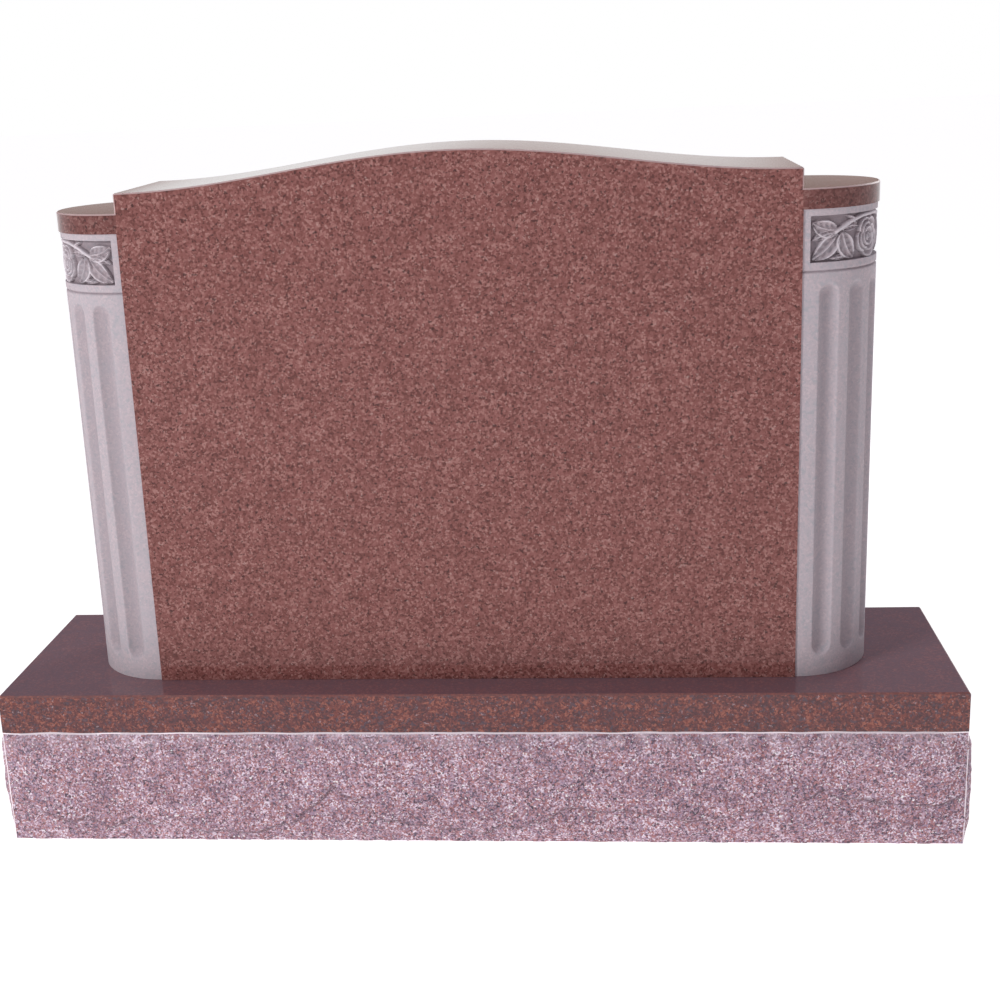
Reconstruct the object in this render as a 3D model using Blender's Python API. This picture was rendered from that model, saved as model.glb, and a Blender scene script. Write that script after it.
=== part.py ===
"""Red granite monument: a serpentine-topped die with fluted, carved half-round ends, on a rock-pitched base.

Metres, +Z up. X runs along the monument and the front faces -Y. The origin is at the middle of the underside.
The die and the base are the two blocks of stone. All carving is part of the die.
"""

import math
from math import cos, pi, radians, sin

import bmesh
import bpy
from mathutils import Vector, noise

# Base block
BASE_LENGTH = 1.219
BASE_DEPTH = 0.305
BASE_HEIGHT = 0.203
MARGIN_HEIGHT = 0.051  # polished band round the top of the base
PITCH_BULGE = 0.014  # how far the rock-pitched sides stand out past the margin
PITCH_RISE = 0.030  # within this distance of the margin and the foot the rock face draws back
CORNER_RUN = 0.040  # within this distance of a corner the rock face draws back
LUMP_SIZE = 0.130  # spacing of the broad lumps of the rock face
CHIP_SIZE = 0.055  # spacing of the smaller scallops
ROCK_STEP = 0.029  # largest side of a facet of the rock face
FLAT_SHARE = 0.35  # the rock face is this share even stone, the rest lumps and scallops
LUMP_SHARE = 0.40
CHIP_SHARE = 0.25
LUMP_SEED = 7.3  # distance between the four sides' places in the noise
CHIP_SEED = 3.1

# Die block
PANEL_WIDTH = 0.813  # flat polished face between the half-round ends
DIE_THICKNESS = 0.203
SHOULDER_HEIGHT = 0.626
SERPENTINE_RISE = 0.036  # the curved top above its shoulders
COLUMN_DROP = 0.024  # the half-round ends stop this far below the shoulders
JOINT_GAP = 0.0003  # between die and base
ARRIS = 0.002  # small bevel on the polished edges
TOP_STEPS = 28
ARC_STEPS = 30  # facets of one half-round end

# Sandblasted part of an end, from the top down
CAP_BAND = 0.024  # polished band that is left at full radius
BLAST_DEPTH = 0.002
TOP_BORDER = 0.008
FIELD_HEIGHT = 0.054  # sunk field that holds the carving
FIELD_DEPTH = 0.006
FIELD_EDGE_ANGLE = 5.0  # degrees from the polished face to the side of the field
GROOVE_DROP = 0.010  # from the foot of the field to the middle of the groove
GROOVE_WIDTH = 0.004
GROOVE_DEPTH = 0.002
FLUTE_DROP = 0.025  # from the foot of the field to the tops of the flutes
FLUTE_FOOT = 0.028  # from the foot of the die to the ends of the flutes
FLUTE_WIDTH = 0.025
FLUTE_DEPTH = 0.007
FLUTE_COUNT = 7
FIRST_FLUTE_ANGLE = 19.0  # degrees round the end from the front
FLUTE_SIDES = 16  # facets of a full turn of the bar that cuts a flute
FLUTE_RINGS = 3  # rings of facets in each rounded end of a flute

# Carving. A place is (degrees round the end, share of the field's height) and a length is a share of that
# height. A height above the floor of the field is a share of the field's depth.
LEAVES = (
    # foot, tip, half width, sideways bow of the midrib
    ((25.5, 0.68), (6.2, 0.84), 0.20, 0.06),
    ((24.0, 0.62), (6.0, 0.44), 0.10, -0.04),
    ((25.5, 0.60), (6.4, 0.06), 0.21, 0.05),
    ((29.0, 0.63), (39.0, 0.06), 0.20, -0.08),
    ((33.0, 0.12), (18.5, 0.07), 0.06, 0.0),
    ((28.5, 0.67), (43.0, 0.72), 0.09, 0.04),
    ((86.0, 0.84), (75.5, 0.10), 0.14, 0.06),
)
MIDDLE_LEAF = ((90.0, 0.87), (90.0, 0.05), 0.16, 0.0)
LEAF_STATIONS = 4
LEAF_PROFILE = ((-1.0, 0.62), (-0.5, 0.42), (0.0, 0.80), (0.5, 0.42), (1.0, 0.62))  # across, height
LEAF_END = 0.60  # height of a leaf's foot and tip
STEM_ROUTE = ((23.0, 0.62), (29.0, 0.72), (37.0, 0.84), (48.0, 0.92), (66.0, 0.94), (80.0, 0.90))
STEM_HALF_WIDTH = 0.035
STEM_SIDE = 0.35
STEM_CREST = 0.70
ROSE_MIDDLE = (56.0, 0.46)
ROSE_RADIUS = 0.42
ROSE_HEART = 0.85
ROSE_RINGS = (
    # share of the radius, height, petals, how far they lap; from the heart out
    (0.10, 0.62, 3, 0.20),
    (0.22, 0.98, 3, 0.16),
    (0.33, 0.66, 3, 0.12),
    (0.47, 0.94, 4, 0.10),
    (0.60, 0.50, 5, 0.06),
    (0.84, 0.82, 5, 0.07),
    (1.00, 0.55, 5, 0.07),
)
ROSE_TURN = 2.1  # radians that each ring's petals are turned from the ring inside it
ROSE_SPOKES = 20
SUNK = 0.25  # the underside of the carving is let into the stone by this share of the field's depth

# Worked out from the sizes above
END_RADIUS = DIE_THICKNESS / 2
DIE_FOOT = BASE_HEIGHT + JOINT_GAP
SHOULDER_Z = DIE_FOOT + SHOULDER_HEIGHT
COLUMN_TOP = SHOULDER_Z - COLUMN_DROP
BLAST_TOP = COLUMN_TOP - CAP_BAND
BLAST_RADIUS = END_RADIUS - BLAST_DEPTH
FIELD_TOP = BLAST_TOP - TOP_BORDER
FIELD_FOOT = FIELD_TOP - FIELD_HEIGHT
FLOOR_RADIUS = BLAST_RADIUS - FIELD_DEPTH
GROOVE_Z = FIELD_FOOT - GROOVE_DROP
MARGIN_FOOT = BASE_HEIGHT - MARGIN_HEIGHT
CLEAR = DIE_THICKNESS / 10  # how far a cutter reaches out of the stone
# One degree round the end as a share of the field's height
PER_DEGREE = radians(1) * BLAST_RADIUS / FIELD_HEIGHT


def srgb(code):
    """A hex colour as the linear values that a shader takes."""
    parts = [int(code[i : i + 2], 16) / 255 for i in (0, 2, 4)]
    return [c / 12.92 if c <= 0.04045 else ((c + 0.055) / 1.055) ** 2.4 for c in parts] + [1.0]


def granite(name, colour, roughness):
    material = bpy.data.materials.new(name)
    material.use_nodes = True
    shader = material.node_tree.nodes["Principled BSDF"]
    shader.inputs["Base Color"].default_value = srgb(colour)
    shader.inputs["Roughness"].default_value = roughness
    shader.inputs["Metallic"].default_value = 0.0
    material.diffuse_color = srgb(colour)
    return material


def add_object(name, points, faces, finishes, finish_of):
    """One closed mesh with its faces out. finish_of gives a face's place in the list of finishes."""
    bm = bmesh.new()
    verts = [bm.verts.new(p) for p in points]
    for face in faces:
        bm.faces.new([verts[i] for i in face])
    bmesh.ops.recalc_face_normals(bm, faces=bm.faces)
    for face in bm.faces:
        face.material_index = finish_of(face)
    mesh = bpy.data.meshes.new(name)
    bm.to_mesh(mesh)
    bm.free()
    for finish in finishes:
        mesh.materials.append(finish)
    mesh.shade_smooth()
    mesh.set_sharp_from_angle(angle=radians(35))
    thing = bpy.data.objects.new(name, mesh)
    bpy.context.scene.collection.objects.link(thing)
    return thing


def add_helper(group, name, points, faces, finishes):
    """A solid that the die's Booleans cut away or join on. What it leaves behind is sandblasted."""
    helper = add_object(name, points, faces, finishes, lambda face: 1)
    bm = bmesh.new()
    bm.from_mesh(helper.data)
    bmesh.ops.triangulate(bm, faces=bm.faces)  # a bent face reads the same way in every Boolean
    bm.to_mesh(helper.data)
    bm.free()
    bpy.context.scene.collection.objects.unlink(helper)
    group.objects.link(helper)
    helper.hide_render = True
    helper.display_type = "WIRE"


def skin(rings, sides):
    """The faces between neighbouring rings of points, each closed and with the same number of points."""
    faces = []
    for i in range(rings - 1):
        for k in range(sides):
            a = i * sides + k
            b = i * sides + (k + 1) % sides
            faces.append((a, b, b + sides, a + sides))
    return faces


def end_point(side, angle, radius, z):
    """A point of a half-round end: degrees round it from the front, distance from its axis, height."""
    turn = radians(angle)
    return (side * (PANEL_WIDTH / 2 + radius * sin(turn)), -radius * cos(turn), z)


def serpentine(x):
    """Height of the curved top, which leaves both shoulders level."""
    return SHOULDER_Z + SERPENTINE_RISE * (1 + cos(2 * pi * x / PANEL_WIDTH)) / 2


def die_block(finishes):
    """The sawn and polished block before any carving: a serpentine panel between two half-round ends."""
    points = []
    faces = []

    def place(*new):
        points.extend(new)
        return list(range(len(points) - len(new), len(points)))

    sections = []
    for i in range(TOP_STEPS + 1):
        x = PANEL_WIDTH * (i / TOP_STEPS - 0.5)
        z = serpentine(x)
        edge = END_RADIUS - ARRIS
        sections.append(
            place((x, -END_RADIUS, z - ARRIS), (x, -edge, z), (x, edge, z), (x, END_RADIUS, z - ARRIS))
        )
    for a, b in zip(sections, sections[1:]):
        for k in range(3):
            faces.append((a[k], a[k + 1], b[k + 1], b[k]))
    ends = []
    for side, shoulder in ((-1, sections[0]), (1, sections[-1])):
        turns = [180 * i / ARC_STEPS for i in range(ARC_STEPS + 1)]
        foot = place(*(end_point(side, turn, END_RADIUS, DIE_FOOT) for turn in turns))
        top = place(*(end_point(side, turn, END_RADIUS, COLUMN_TOP) for turn in turns))
        for i in range(ARC_STEPS):
            faces.append((foot[i], foot[i + 1], top[i + 1], top[i]))
        faces.append(top)
        faces.append([top[0], *shoulder, top[-1]])
        ends.append((foot, top))
    (left_foot, left_top), (right_foot, right_top) = ends
    for edge, k in ((0, 0), (-1, 3)):
        skyline = [section[k] for section in reversed(sections)]
        faces.append([left_foot[edge], right_foot[edge], right_top[edge], *skyline, left_top[edge]])
    faces.append(left_foot + list(reversed(right_foot)))
    return add_object("die", points, faces, finishes, lambda face: 0)


def add_turned_cutter(group, name, side, profile, start, stop, finishes):
    """A ring section: the profile of (radius, height) swept round an end from start to stop degrees."""
    steps = round(ARC_STEPS * (stop - start) / 180)
    points = []
    for i in range(steps + 1):
        angle = start + (stop - start) * i / steps
        points += [end_point(side, angle, radius, z) for radius, z in profile]
    n = len(profile)
    caps = [range(n), range(steps * n, steps * n + n)]
    add_helper(group, name, points, skin(steps + 1, n) + caps, finishes)


def add_blast_cutter(group, side, finishes):
    """Takes the polish off the end below its cap band, and cuts the groove under the carved field."""
    out = END_RADIUS + CLEAR
    low = DIE_FOOT - CLEAR
    profile = (
        (out, low),
        (out, BLAST_TOP),
        (BLAST_RADIUS, BLAST_TOP),
        (BLAST_RADIUS, GROOVE_Z + GROOVE_WIDTH / 2),
        (BLAST_RADIUS - GROOVE_DEPTH, GROOVE_Z),
        (BLAST_RADIUS, GROOVE_Z - GROOVE_WIDTH / 2),
        (BLAST_RADIUS, low),
    )
    add_turned_cutter(group, "blast_cutter", side, profile, 0.0, 180.0, finishes)


def add_field_cutter(group, side, finishes):
    """Sinks the field that the rose and the leaves stand in."""
    out = END_RADIUS + CLEAR
    profile = ((out, FIELD_FOOT), (out, FIELD_TOP), (FLOOR_RADIUS, FIELD_TOP), (FLOOR_RADIUS, FIELD_FOOT))
    start = FIELD_EDGE_ANGLE
    add_turned_cutter(group, "field_cutter", side, profile, start, 180 - start, finishes)


def add_flute_cutter(group, side, angle, finishes):
    """A round bar with ball ends, which leaves one flute of the stated width and depth with round ends."""
    half = FLUTE_WIDTH / 2
    lip = math.sqrt(BLAST_RADIUS**2 - half**2)  # how far the flute's edges lie from the end's axis
    depth = FLUTE_DEPTH - (BLAST_RADIUS - lip)
    bar = (half**2 + depth**2) / (2 * depth)
    x, y, _ = end_point(side, angle, lip - depth + bar, 0.0)
    low = DIE_FOOT + FLUTE_FOOT + half
    high = FIELD_FOOT - FLUTE_DROP - half
    tilts = [pi / 2 * k / FLUTE_RINGS for k in range(FLUTE_RINGS)]
    rings = [(-tilt, low) for tilt in reversed(tilts)] + [(tilt, high) for tilt in tilts]
    points = []
    for tilt, z in rings:
        reach = bar * cos(tilt)
        for k in range(FLUTE_SIDES):
            turn = 2 * pi * k / FLUTE_SIDES
            points.append((x + reach * cos(turn), y + reach * sin(turn), z + bar * sin(tilt)))
    faces = skin(len(rings), FLUTE_SIDES)
    for z, first in ((low - bar, 0), (high + bar, len(points) - FLUTE_SIDES)):
        points.append((x, y, z))
        pole = len(points) - 1
        faces += [(pole, first + k, first + (k + 1) % FLUTE_SIDES) for k in range(FLUTE_SIDES)]
    add_helper(group, "flute_cutter", points, faces, finishes)


class Carver:
    """Places the points of one carving in the field, as drawn or mirrored to the back half."""

    def __init__(self, side, mirror):
        self.side = side
        self.mirror = mirror
        self.points = []

    def place(self, spot, height):
        """Adds a point at a spot of (run round the end, share of the field's height) and gives its number."""
        angle = spot.x / PER_DEGREE
        if self.mirror:
            angle = 180 - angle
        radius = FLOOR_RADIUS + FIELD_DEPTH * height
        self.points.append(end_point(self.side, angle, radius, FIELD_FOOT + FIELD_HEIGHT * spot.y))
        return len(self.points) - 1


def spot_of(place):
    """A place in degrees and share of height as a flat spot with the same unit both ways."""
    return Vector((place[0] * PER_DEGREE, place[1]))


def bowed_line(foot, tip, bow, t):
    """A spot and the sideways direction at share t of a line that bows to one side."""
    run = spot_of(tip) - spot_of(foot)
    across = Vector((-run.y, run.x)).normalized()
    spot = spot_of(foot) + run * t + across * bow * sin(pi * t)
    heading = run + across * bow * pi * cos(pi * t)
    return spot, Vector((-heading.y, heading.x)).normalized()


def add_leaf(group, side, mirror, foot, tip, half_width, bow, finishes):
    """One leaf with raised margins and midrib."""
    carver = Carver(side, mirror)
    rows = []
    edges = []
    for i in range(1, LEAF_STATIONS):
        t = i / LEAF_STATIONS
        spot, across = bowed_line(foot, tip, bow, t)
        half = half_width * sin(pi * t**0.8) ** 0.8  # fuller towards the foot than towards the tip
        rows.append([carver.place(spot + across * half * k, height) for k, height in LEAF_PROFILE])
        edges.append([carver.place(spot + across * half * k, -SUNK) for k in (-1, 1)])
    faces = []
    spans = len(LEAF_PROFILE) - 1
    for t, row, edge in ((0.0, rows[0], edges[0]), (1.0, rows[-1], edges[-1])):
        spot, _ = bowed_line(foot, tip, bow, t)
        top = carver.place(spot, LEAF_END)
        low = carver.place(spot, -SUNK)
        faces += [(top, row[k], row[k + 1]) for k in range(spans)]
        faces += [(top, row[0], edge[0], low), (top, row[-1], edge[1], low), (low, *edge)]
    for a, b, c, d in zip(rows, rows[1:], edges, edges[1:]):
        faces += [(a[k], a[k + 1], b[k + 1], b[k]) for k in range(spans)]
        faces += [(a[0], b[0], d[0], c[0]), (a[-1], b[-1], d[1], c[1]), (c[0], c[1], d[1], d[0])]
    add_helper(group, "leaf", carver.points, faces, finishes)


def add_stem(group, side, finishes):
    """The stalk that arches from one cluster of leaves over both roses to the other cluster."""
    carver = Carver(side, False)
    route = list(STEM_ROUTE) + [(180 - angle, share) for angle, share in reversed(STEM_ROUTE)]
    spots = [spot_of(place) for place in route]
    profile = ((-1, -SUNK), (-1, STEM_SIDE), (0, STEM_CREST), (1, STEM_SIDE), (1, -SUNK))
    for i, spot in enumerate(spots):
        heading = spots[min(i + 1, len(spots) - 1)] - spots[max(i - 1, 0)]
        across = Vector((-heading.y, heading.x)).normalized() * STEM_HALF_WIDTH
        for shift, height in profile:
            carver.place(spot + across * shift, height)
    n = len(profile)
    caps = [range(n), range(len(spots) * n - n, len(spots) * n)]
    add_helper(group, "stem", carver.points, skin(len(spots), n) + caps, finishes)


def add_rose(group, side, mirror, finishes):
    """An open rose seen from above: rings of lapping petals round a rolled heart."""
    carver = Carver(side, mirror)
    middle = spot_of(ROSE_MIDDLE)
    rings = [(*ring, ROSE_TURN * i) for i, ring in enumerate(ROSE_RINGS)]
    share, _, petals, lap, phase = rings[-1]
    rings.append((share, -SUNK, petals, lap, phase))
    for share, height, petals, lap, phase in rings:
        for k in range(ROSE_SPOKES):
            turn = 2 * pi * k / ROSE_SPOKES
            reach = ROSE_RADIUS * share * (1 + lap * cos(petals * turn + phase))
            carver.place(middle + Vector((cos(turn), sin(turn))) * reach, height)
    faces = skin(len(rings), ROSE_SPOKES)
    heart = carver.place(middle, ROSE_HEART)
    faces += [(heart, k, (k + 1) % ROSE_SPOKES) for k in range(ROSE_SPOKES)]
    faces.append(range(len(rings) * ROSE_SPOKES - ROSE_SPOKES, len(rings) * ROSE_SPOKES))
    add_helper(group, "rose", carver.points, faces, finishes)


def join_group(block, group, operation, solver):
    """Cuts a group of solids out of the block, or joins them to it."""
    step = block.modifiers.new(group.name, "BOOLEAN")
    step.operation = operation
    step.operand_type = "COLLECTION"
    step.collection = group
    step.solver = solver


def build_die(finishes):
    block = die_block(finishes)
    cutters = bpy.data.collections.new("cutters")
    carving = bpy.data.collections.new("carving")
    for group in (cutters, carving):
        bpy.context.scene.collection.children.link(group)
    pitch = (180 - 2 * FIRST_FLUTE_ANGLE) / (FLUTE_COUNT - 1)
    for side in (-1, 1):
        add_blast_cutter(cutters, side, finishes)
        add_field_cutter(cutters, side, finishes)
        for i in range(FLUTE_COUNT):
            add_flute_cutter(cutters, side, FIRST_FLUTE_ANGLE + pitch * i, finishes)
        for mirror in (False, True):
            for leaf in LEAVES:
                add_leaf(carving, side, mirror, *leaf, finishes)
            add_rose(carving, side, mirror, finishes)
        add_leaf(carving, side, False, *MIDDLE_LEAF, finishes)
        add_stem(carving, side, finishes)
    join_group(block, cutters, "DIFFERENCE", "EXACT")
    join_group(block, carving, "UNION", "MANIFOLD")  # the exact solver leaves holes where the leaves cross


def rock_share(along, up, length, face):
    """How far the rock of one side stands out at a point, before the side is levelled to its bulge."""
    lumps = noise.noise(Vector((along / LUMP_SIZE, up / LUMP_SIZE, LUMP_SEED * face)))
    nearest = noise.voronoi(Vector((along / CHIP_SIZE, up / CHIP_SIZE, CHIP_SEED * face)))[0][0]
    share = FLAT_SHARE + LUMP_SHARE * (lumps + 1) / 2 + CHIP_SHARE * (1 - min(nearest, 1))
    ends = (along / CORNER_RUN, (length - along) / CORNER_RUN)
    edges = (up / PITCH_RISE, (MARGIN_FOOT - up) / PITCH_RISE)
    for run in ends + edges:
        share *= sin(pi / 2 * min(max(run, 0), 1))
    return share


def build_base(finishes):
    corners = [
        Vector((side_x * BASE_LENGTH / 2, side_y * BASE_DEPTH / 2))
        for side_x, side_y in ((-1, -1), (1, -1), (1, 1), (-1, 1))
    ]
    rows = round(MARGIN_FOOT / ROCK_STEP)
    levels = [MARGIN_FOOT * j / rows for j in range(rows + 1)]
    points = []
    first = []  # the number of each corner's column of points
    for face, (a, b) in enumerate(zip(corners, corners[1:] + corners[:1])):
        length = (b - a).length
        along = (b - a) / length
        out = Vector((along.y, -along.x))
        steps = round(length / ROCK_STEP)
        runs = [length * i / steps for i in range(steps)]
        shares = [[rock_share(run, up, length, face) for up in levels] for run in runs]
        tallest = max(max(column) for column in shares)
        first.append(len(points) // len(levels))
        for run, column in zip(runs, shares):
            for up, share in zip(levels, column):
                spot = a + along * run + out * (PITCH_BULGE * share / tallest)
                points.append((spot.x, spot.y, up))
    n = len(levels)
    columns = len(points) // n
    faces = []
    for i in range(columns):
        a = i * n
        b = (i + 1) % columns * n
        faces += [(a + j, b + j, b + j + 1, a + j + 1) for j in range(n - 1)]
    faces.append([i * n for i in range(columns)])
    margin_line = [i * n + n - 1 for i in range(columns)] + [n - 1]
    rims = []
    for inset, z in ((0.0, BASE_HEIGHT - ARRIS), (ARRIS, BASE_HEIGHT)):
        rims.append(list(range(len(points), len(points) + 4)))
        for corner in corners:
            x = corner.x - math.copysign(inset, corner.x)
            y = corner.y - math.copysign(inset, corner.y)
            points.append((x, y, z))
    low, high = rims
    for k, (start, stop) in enumerate(zip(first, first[1:] + [columns])):
        after = (k + 1) % 4
        faces.append([*margin_line[start : stop + 1], low[after], low[k]])
        faces.append((low[k], low[after], high[after], high[k]))
    faces.append(high)
    add_object("base", points, faces, finishes, lambda face: int(face.calc_center_median().z < MARGIN_FOOT))


def main():
    for old in list(bpy.data.objects):
        bpy.data.objects.remove(old)
    polished = granite("polished granite", "694A4E", 0.12)
    pitched = granite("rock-pitched granite", "A58291", 0.85)
    build_base([polished, pitched])
    panel = granite("polished granite panel", "8A5A55", 0.08)
    blasted = granite("sandblasted granite", "C8B9BE", 0.75)
    build_die([panel, blasted])


main()
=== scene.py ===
# %% [markdown]
# This lesson dresses a red granite monument: an upright die with a serpentine top and half-round
# fluted ends, on a base with rock-pitched sides. The imported CAD model is loaded first and every
# later piece is fitted to it.

import math
from math import pi, radians

import bmesh
import bpy
import numpy as np
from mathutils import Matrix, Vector, noise


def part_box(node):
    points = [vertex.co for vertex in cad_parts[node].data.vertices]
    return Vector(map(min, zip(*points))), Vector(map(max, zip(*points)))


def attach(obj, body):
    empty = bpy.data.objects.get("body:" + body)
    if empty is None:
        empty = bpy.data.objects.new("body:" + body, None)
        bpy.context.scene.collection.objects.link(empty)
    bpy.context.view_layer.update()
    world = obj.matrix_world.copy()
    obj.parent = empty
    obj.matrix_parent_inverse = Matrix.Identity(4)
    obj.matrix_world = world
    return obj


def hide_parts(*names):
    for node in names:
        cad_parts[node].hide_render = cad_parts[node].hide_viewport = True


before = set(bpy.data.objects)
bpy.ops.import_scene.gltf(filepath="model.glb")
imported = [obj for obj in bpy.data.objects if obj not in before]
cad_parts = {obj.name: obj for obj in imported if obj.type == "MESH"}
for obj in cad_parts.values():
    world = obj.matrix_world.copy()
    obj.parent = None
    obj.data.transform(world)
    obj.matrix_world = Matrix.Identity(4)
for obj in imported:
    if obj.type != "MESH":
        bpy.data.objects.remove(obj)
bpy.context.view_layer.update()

# %% [markdown]
# The sizes are those that a mason would chalk on the two blocks, in metres, and they repeat the CAD
# source. Those of an end go from the top down, as the bands of its work do.

# %% Sizes of the two blocks
BASE_LENGTH, BASE_DEPTH, BASE_HEIGHT = 1.219, 0.305, 0.203
MARGIN_FOOT = BASE_HEIGHT - 0.051  # the polished margin ends here and the rock face begins
PITCH_BULGE = 0.014
PITCH_RISE, CORNER_RUN = 0.030, 0.040  # the rock face draws back this near to its edges
PANEL_WIDTH = 0.813
END_RADIUS = 0.203 / 2
DIE_FOOT = BASE_HEIGHT + 0.0003
SHOULDER_Z = DIE_FOOT + 0.626
SERPENTINE_RISE = 0.036
COLUMN_TOP = SHOULDER_Z - 0.024
ARRIS = 0.002
BLAST_TOP = COLUMN_TOP - 0.024
BLAST_RADIUS = END_RADIUS - 0.002
FIELD_TOP = BLAST_TOP - 0.008
FIELD_HEIGHT, FIELD_DEPTH = 0.054, 0.006
FIELD_FOOT = FIELD_TOP - FIELD_HEIGHT
FLOOR_RADIUS = BLAST_RADIUS - FIELD_DEPTH
FIELD_EDGE = 5.0  # degrees round the end from the polished face
GROOVE_Z, GROOVE_WIDTH, GROOVE_DEPTH = FIELD_FOOT - 0.010, 0.004, 0.002
FLUTE_WIDTH, FLUTE_DEPTH, FLUTE_COUNT = 0.025, 0.007, 7
FLUTE_FOOT, FLUTE_TOP = DIE_FOOT + 0.028, FIELD_FOOT - 0.025
FIRST_FLUTE = 19.0  # degrees
for node in ("base", "die"):
    low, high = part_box(node)
    print(node, "from", [round(v, 4) for v in low], "to", [round(v, 4) for v in high])

# %% [markdown]
# Every finish is a small tree of shader nodes. One helper adds a node, sets its properties and
# inputs, and links the inputs that are given a socket, so that a tree reads as a list of what is in
# the stone. Colours are written as the sRGB codes that a colour picker shows, and one function
# turns them into the linear values a renderer works with.

# %% Helpers for colours and nodes


def linear(code):
    """An sRGB hex code as linear red, green, blue and alpha."""
    parts = [int(code[i : i + 2], 16) / 255 for i in (0, 2, 4)]
    return [c / 12.92 if c <= 0.04045 else ((c + 0.055) / 1.055) ** 2.4 for c in parts] + [1.0]


def add(tree, kind, settings=None):
    """Adds a node with its settings.

    A setting is a property, or an input by name or number with a value or a socket to link.
    """
    node = tree.nodes.new(kind)
    for key, value in (settings or {}).items():
        if isinstance(value, bpy.types.NodeSocket):
            tree.links.new(value, node.inputs[key])
        elif isinstance(key, int) or key in node.inputs:
            node.inputs[key].default_value = value
        else:
            setattr(node, key, value)
    return node


def set_stops(ramp, stops):
    """Gives a colour ramp its stops, each a place and a colour code."""
    first, last = ramp.elements
    first.position, first.color = stops[0][0], linear(stops[0][1])
    last.position, last.color = stops[-1][0], linear(stops[-1][1])
    for place, code in stops[1:-1]:
        ramp.elements.new(place).color = linear(code)


print("middle grey in linear light:", round(linear("808080")[0], 3))

# %% [markdown]
# The photograph looks down on the front from a little above the die and slightly to the right of
# its middle. The camera was worked out from the corners of the panel and the base, so it is given
# as a place, a turn and a lens. A small sideways shift stands for a picture that was trimmed more
# on one side than on the other.

# %% Camera
scene = bpy.context.scene


def put(name, data):
    """A new object in the scene with the data."""
    thing = bpy.data.objects.new(name, data)
    scene.collection.objects.link(thing)
    return thing


camera = put("camera", bpy.data.cameras.new("camera"))
camera.location = (0.1747, -1.9078, 0.9550)
camera.rotation_euler = (1.2950, 0.0442, 0.0935)
camera.data.sensor_width = 36
camera.data.lens = 54.86
camera.data.shift_x = 0.05
scene.camera = camera
scene.view_settings.view_transform = "Standard"  # colours come out as they are stated
print("camera", tuple(camera.location), "lens", camera.data.lens)

# %% [markdown]
# Polished stone shows what stands round it, so the room matters as much as the lamps. The wall is
# white at the foot and greys above that, because the polished tops mirror that part. The stops are
# sines of the height angle. Behind the stone hangs plain white paper, as in the photograph, so what
# the camera looks at directly is white at any height.

# %% Room
ROOM_WALL = (
    (0.052, "FFFFFF"),
    (0.064, "DCCBC8"),
    (0.078, "8E7062"),
    (0.30, "8A848E"),
    (0.60, "888690"),
    (1.0, "9A98A4"),
)
world = bpy.data.worlds.new("studio")
scene.world = world
world.use_nodes = True
room = world.node_tree
room.nodes.clear()
direction = add(room, "ShaderNodeTexCoord")
height = add(room, "ShaderNodeSeparateXYZ", {0: direction.outputs["Generated"]})
wall = add(room, "ShaderNodeValToRGB", {0: height.outputs["Z"]})
set_stops(wall.color_ramp, ROOM_WALL)
looked_at = add(room, "ShaderNodeLightPath").outputs["Is Camera Ray"]
plain = {"data_type": "RGBA", 0: looked_at, 6: wall.outputs["Color"], 7: linear("FFFFFF")}
shown = add(room, "ShaderNodeMix", plain)
glow = add(room, "ShaderNodeBackground", {"Color": shown.outputs[2], "Strength": 1.0})
add(room, "ShaderNodeOutputWorld", {"Surface": glow.outputs[0]})
print("room:", len(wall.color_ramp.elements), "stops")

# %% [markdown]
# A big soft lamp stands in front and well to the left, so that the left walls of the flutes and of
# the carving lie in shade. A weaker one behind gives the back some shape. The floor is matt white
# and lit from under, as a light table is, so that it stays white up to the horizon.

# %% Lamps and floor


def lamp(name, place, aim, size, watts):
    """A square soft lamp at a place, turned to an aim."""
    light = bpy.data.lights.new(name, "AREA")
    light.size = size
    light.energy = watts
    thing = put(name, light)
    thing.location = place
    thing.rotation_euler = (Vector(aim) - Vector(place)).to_track_quat("-Z", "Y").to_euler()


lamp("window", (-3.7, -3.5, 2.6), (0, 0, 0.5), 1.4, 142)
lamp("back", (2.4, 2.8, 2.2), (0, 0, 0.5), 1.6, 45)

FLOOR_REACH = 30
FLOOR_GLOW = 0.84  # light that comes through the floor from under
ROUND_THE_MIDDLE = ((-1, -1), (1, -1), (1, 1), (-1, 1))
floor_mesh = bpy.data.meshes.new("floor")
floor_corners = [(x * FLOOR_REACH, y * FLOOR_REACH, 0) for x, y in ROUND_THE_MIDDLE]
floor_mesh.from_pydata(floor_corners, [], [(0, 1, 2, 3)])
floor = put("floor", floor_mesh)
paper = bpy.data.materials.new("matt white studio floor")
paper.use_nodes = True
matt = paper.node_tree.nodes["Principled BSDF"].inputs
matt["Base Color"].default_value = linear("C0C0C0")
matt["Roughness"].default_value = 0.9
matt["Emission Color"].default_value = linear("FFFFFF")
matt["Emission Strength"].default_value = FLOOR_GLOW
floor.data.materials.append(paper)

# %% [markdown]
# The stone is a red granite: interlocked crystals of red feldspar 2 to 3 mm across, with scattered
# black mica and pale quartz. Voronoi cells stand in for the feldspar, because each cell gets its
# own random number. Mica and quartz grew last and filled the gaps that were left, so each has a
# ragged outline: the part of a noise above some level.

# %% Scattered minerals
SOFT_RIM = 0.07  # the noise rises by this much across the rim of a mineral
OUTLINE_DETAIL = 2.0  # octaves of the noise that shapes an outline


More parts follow.
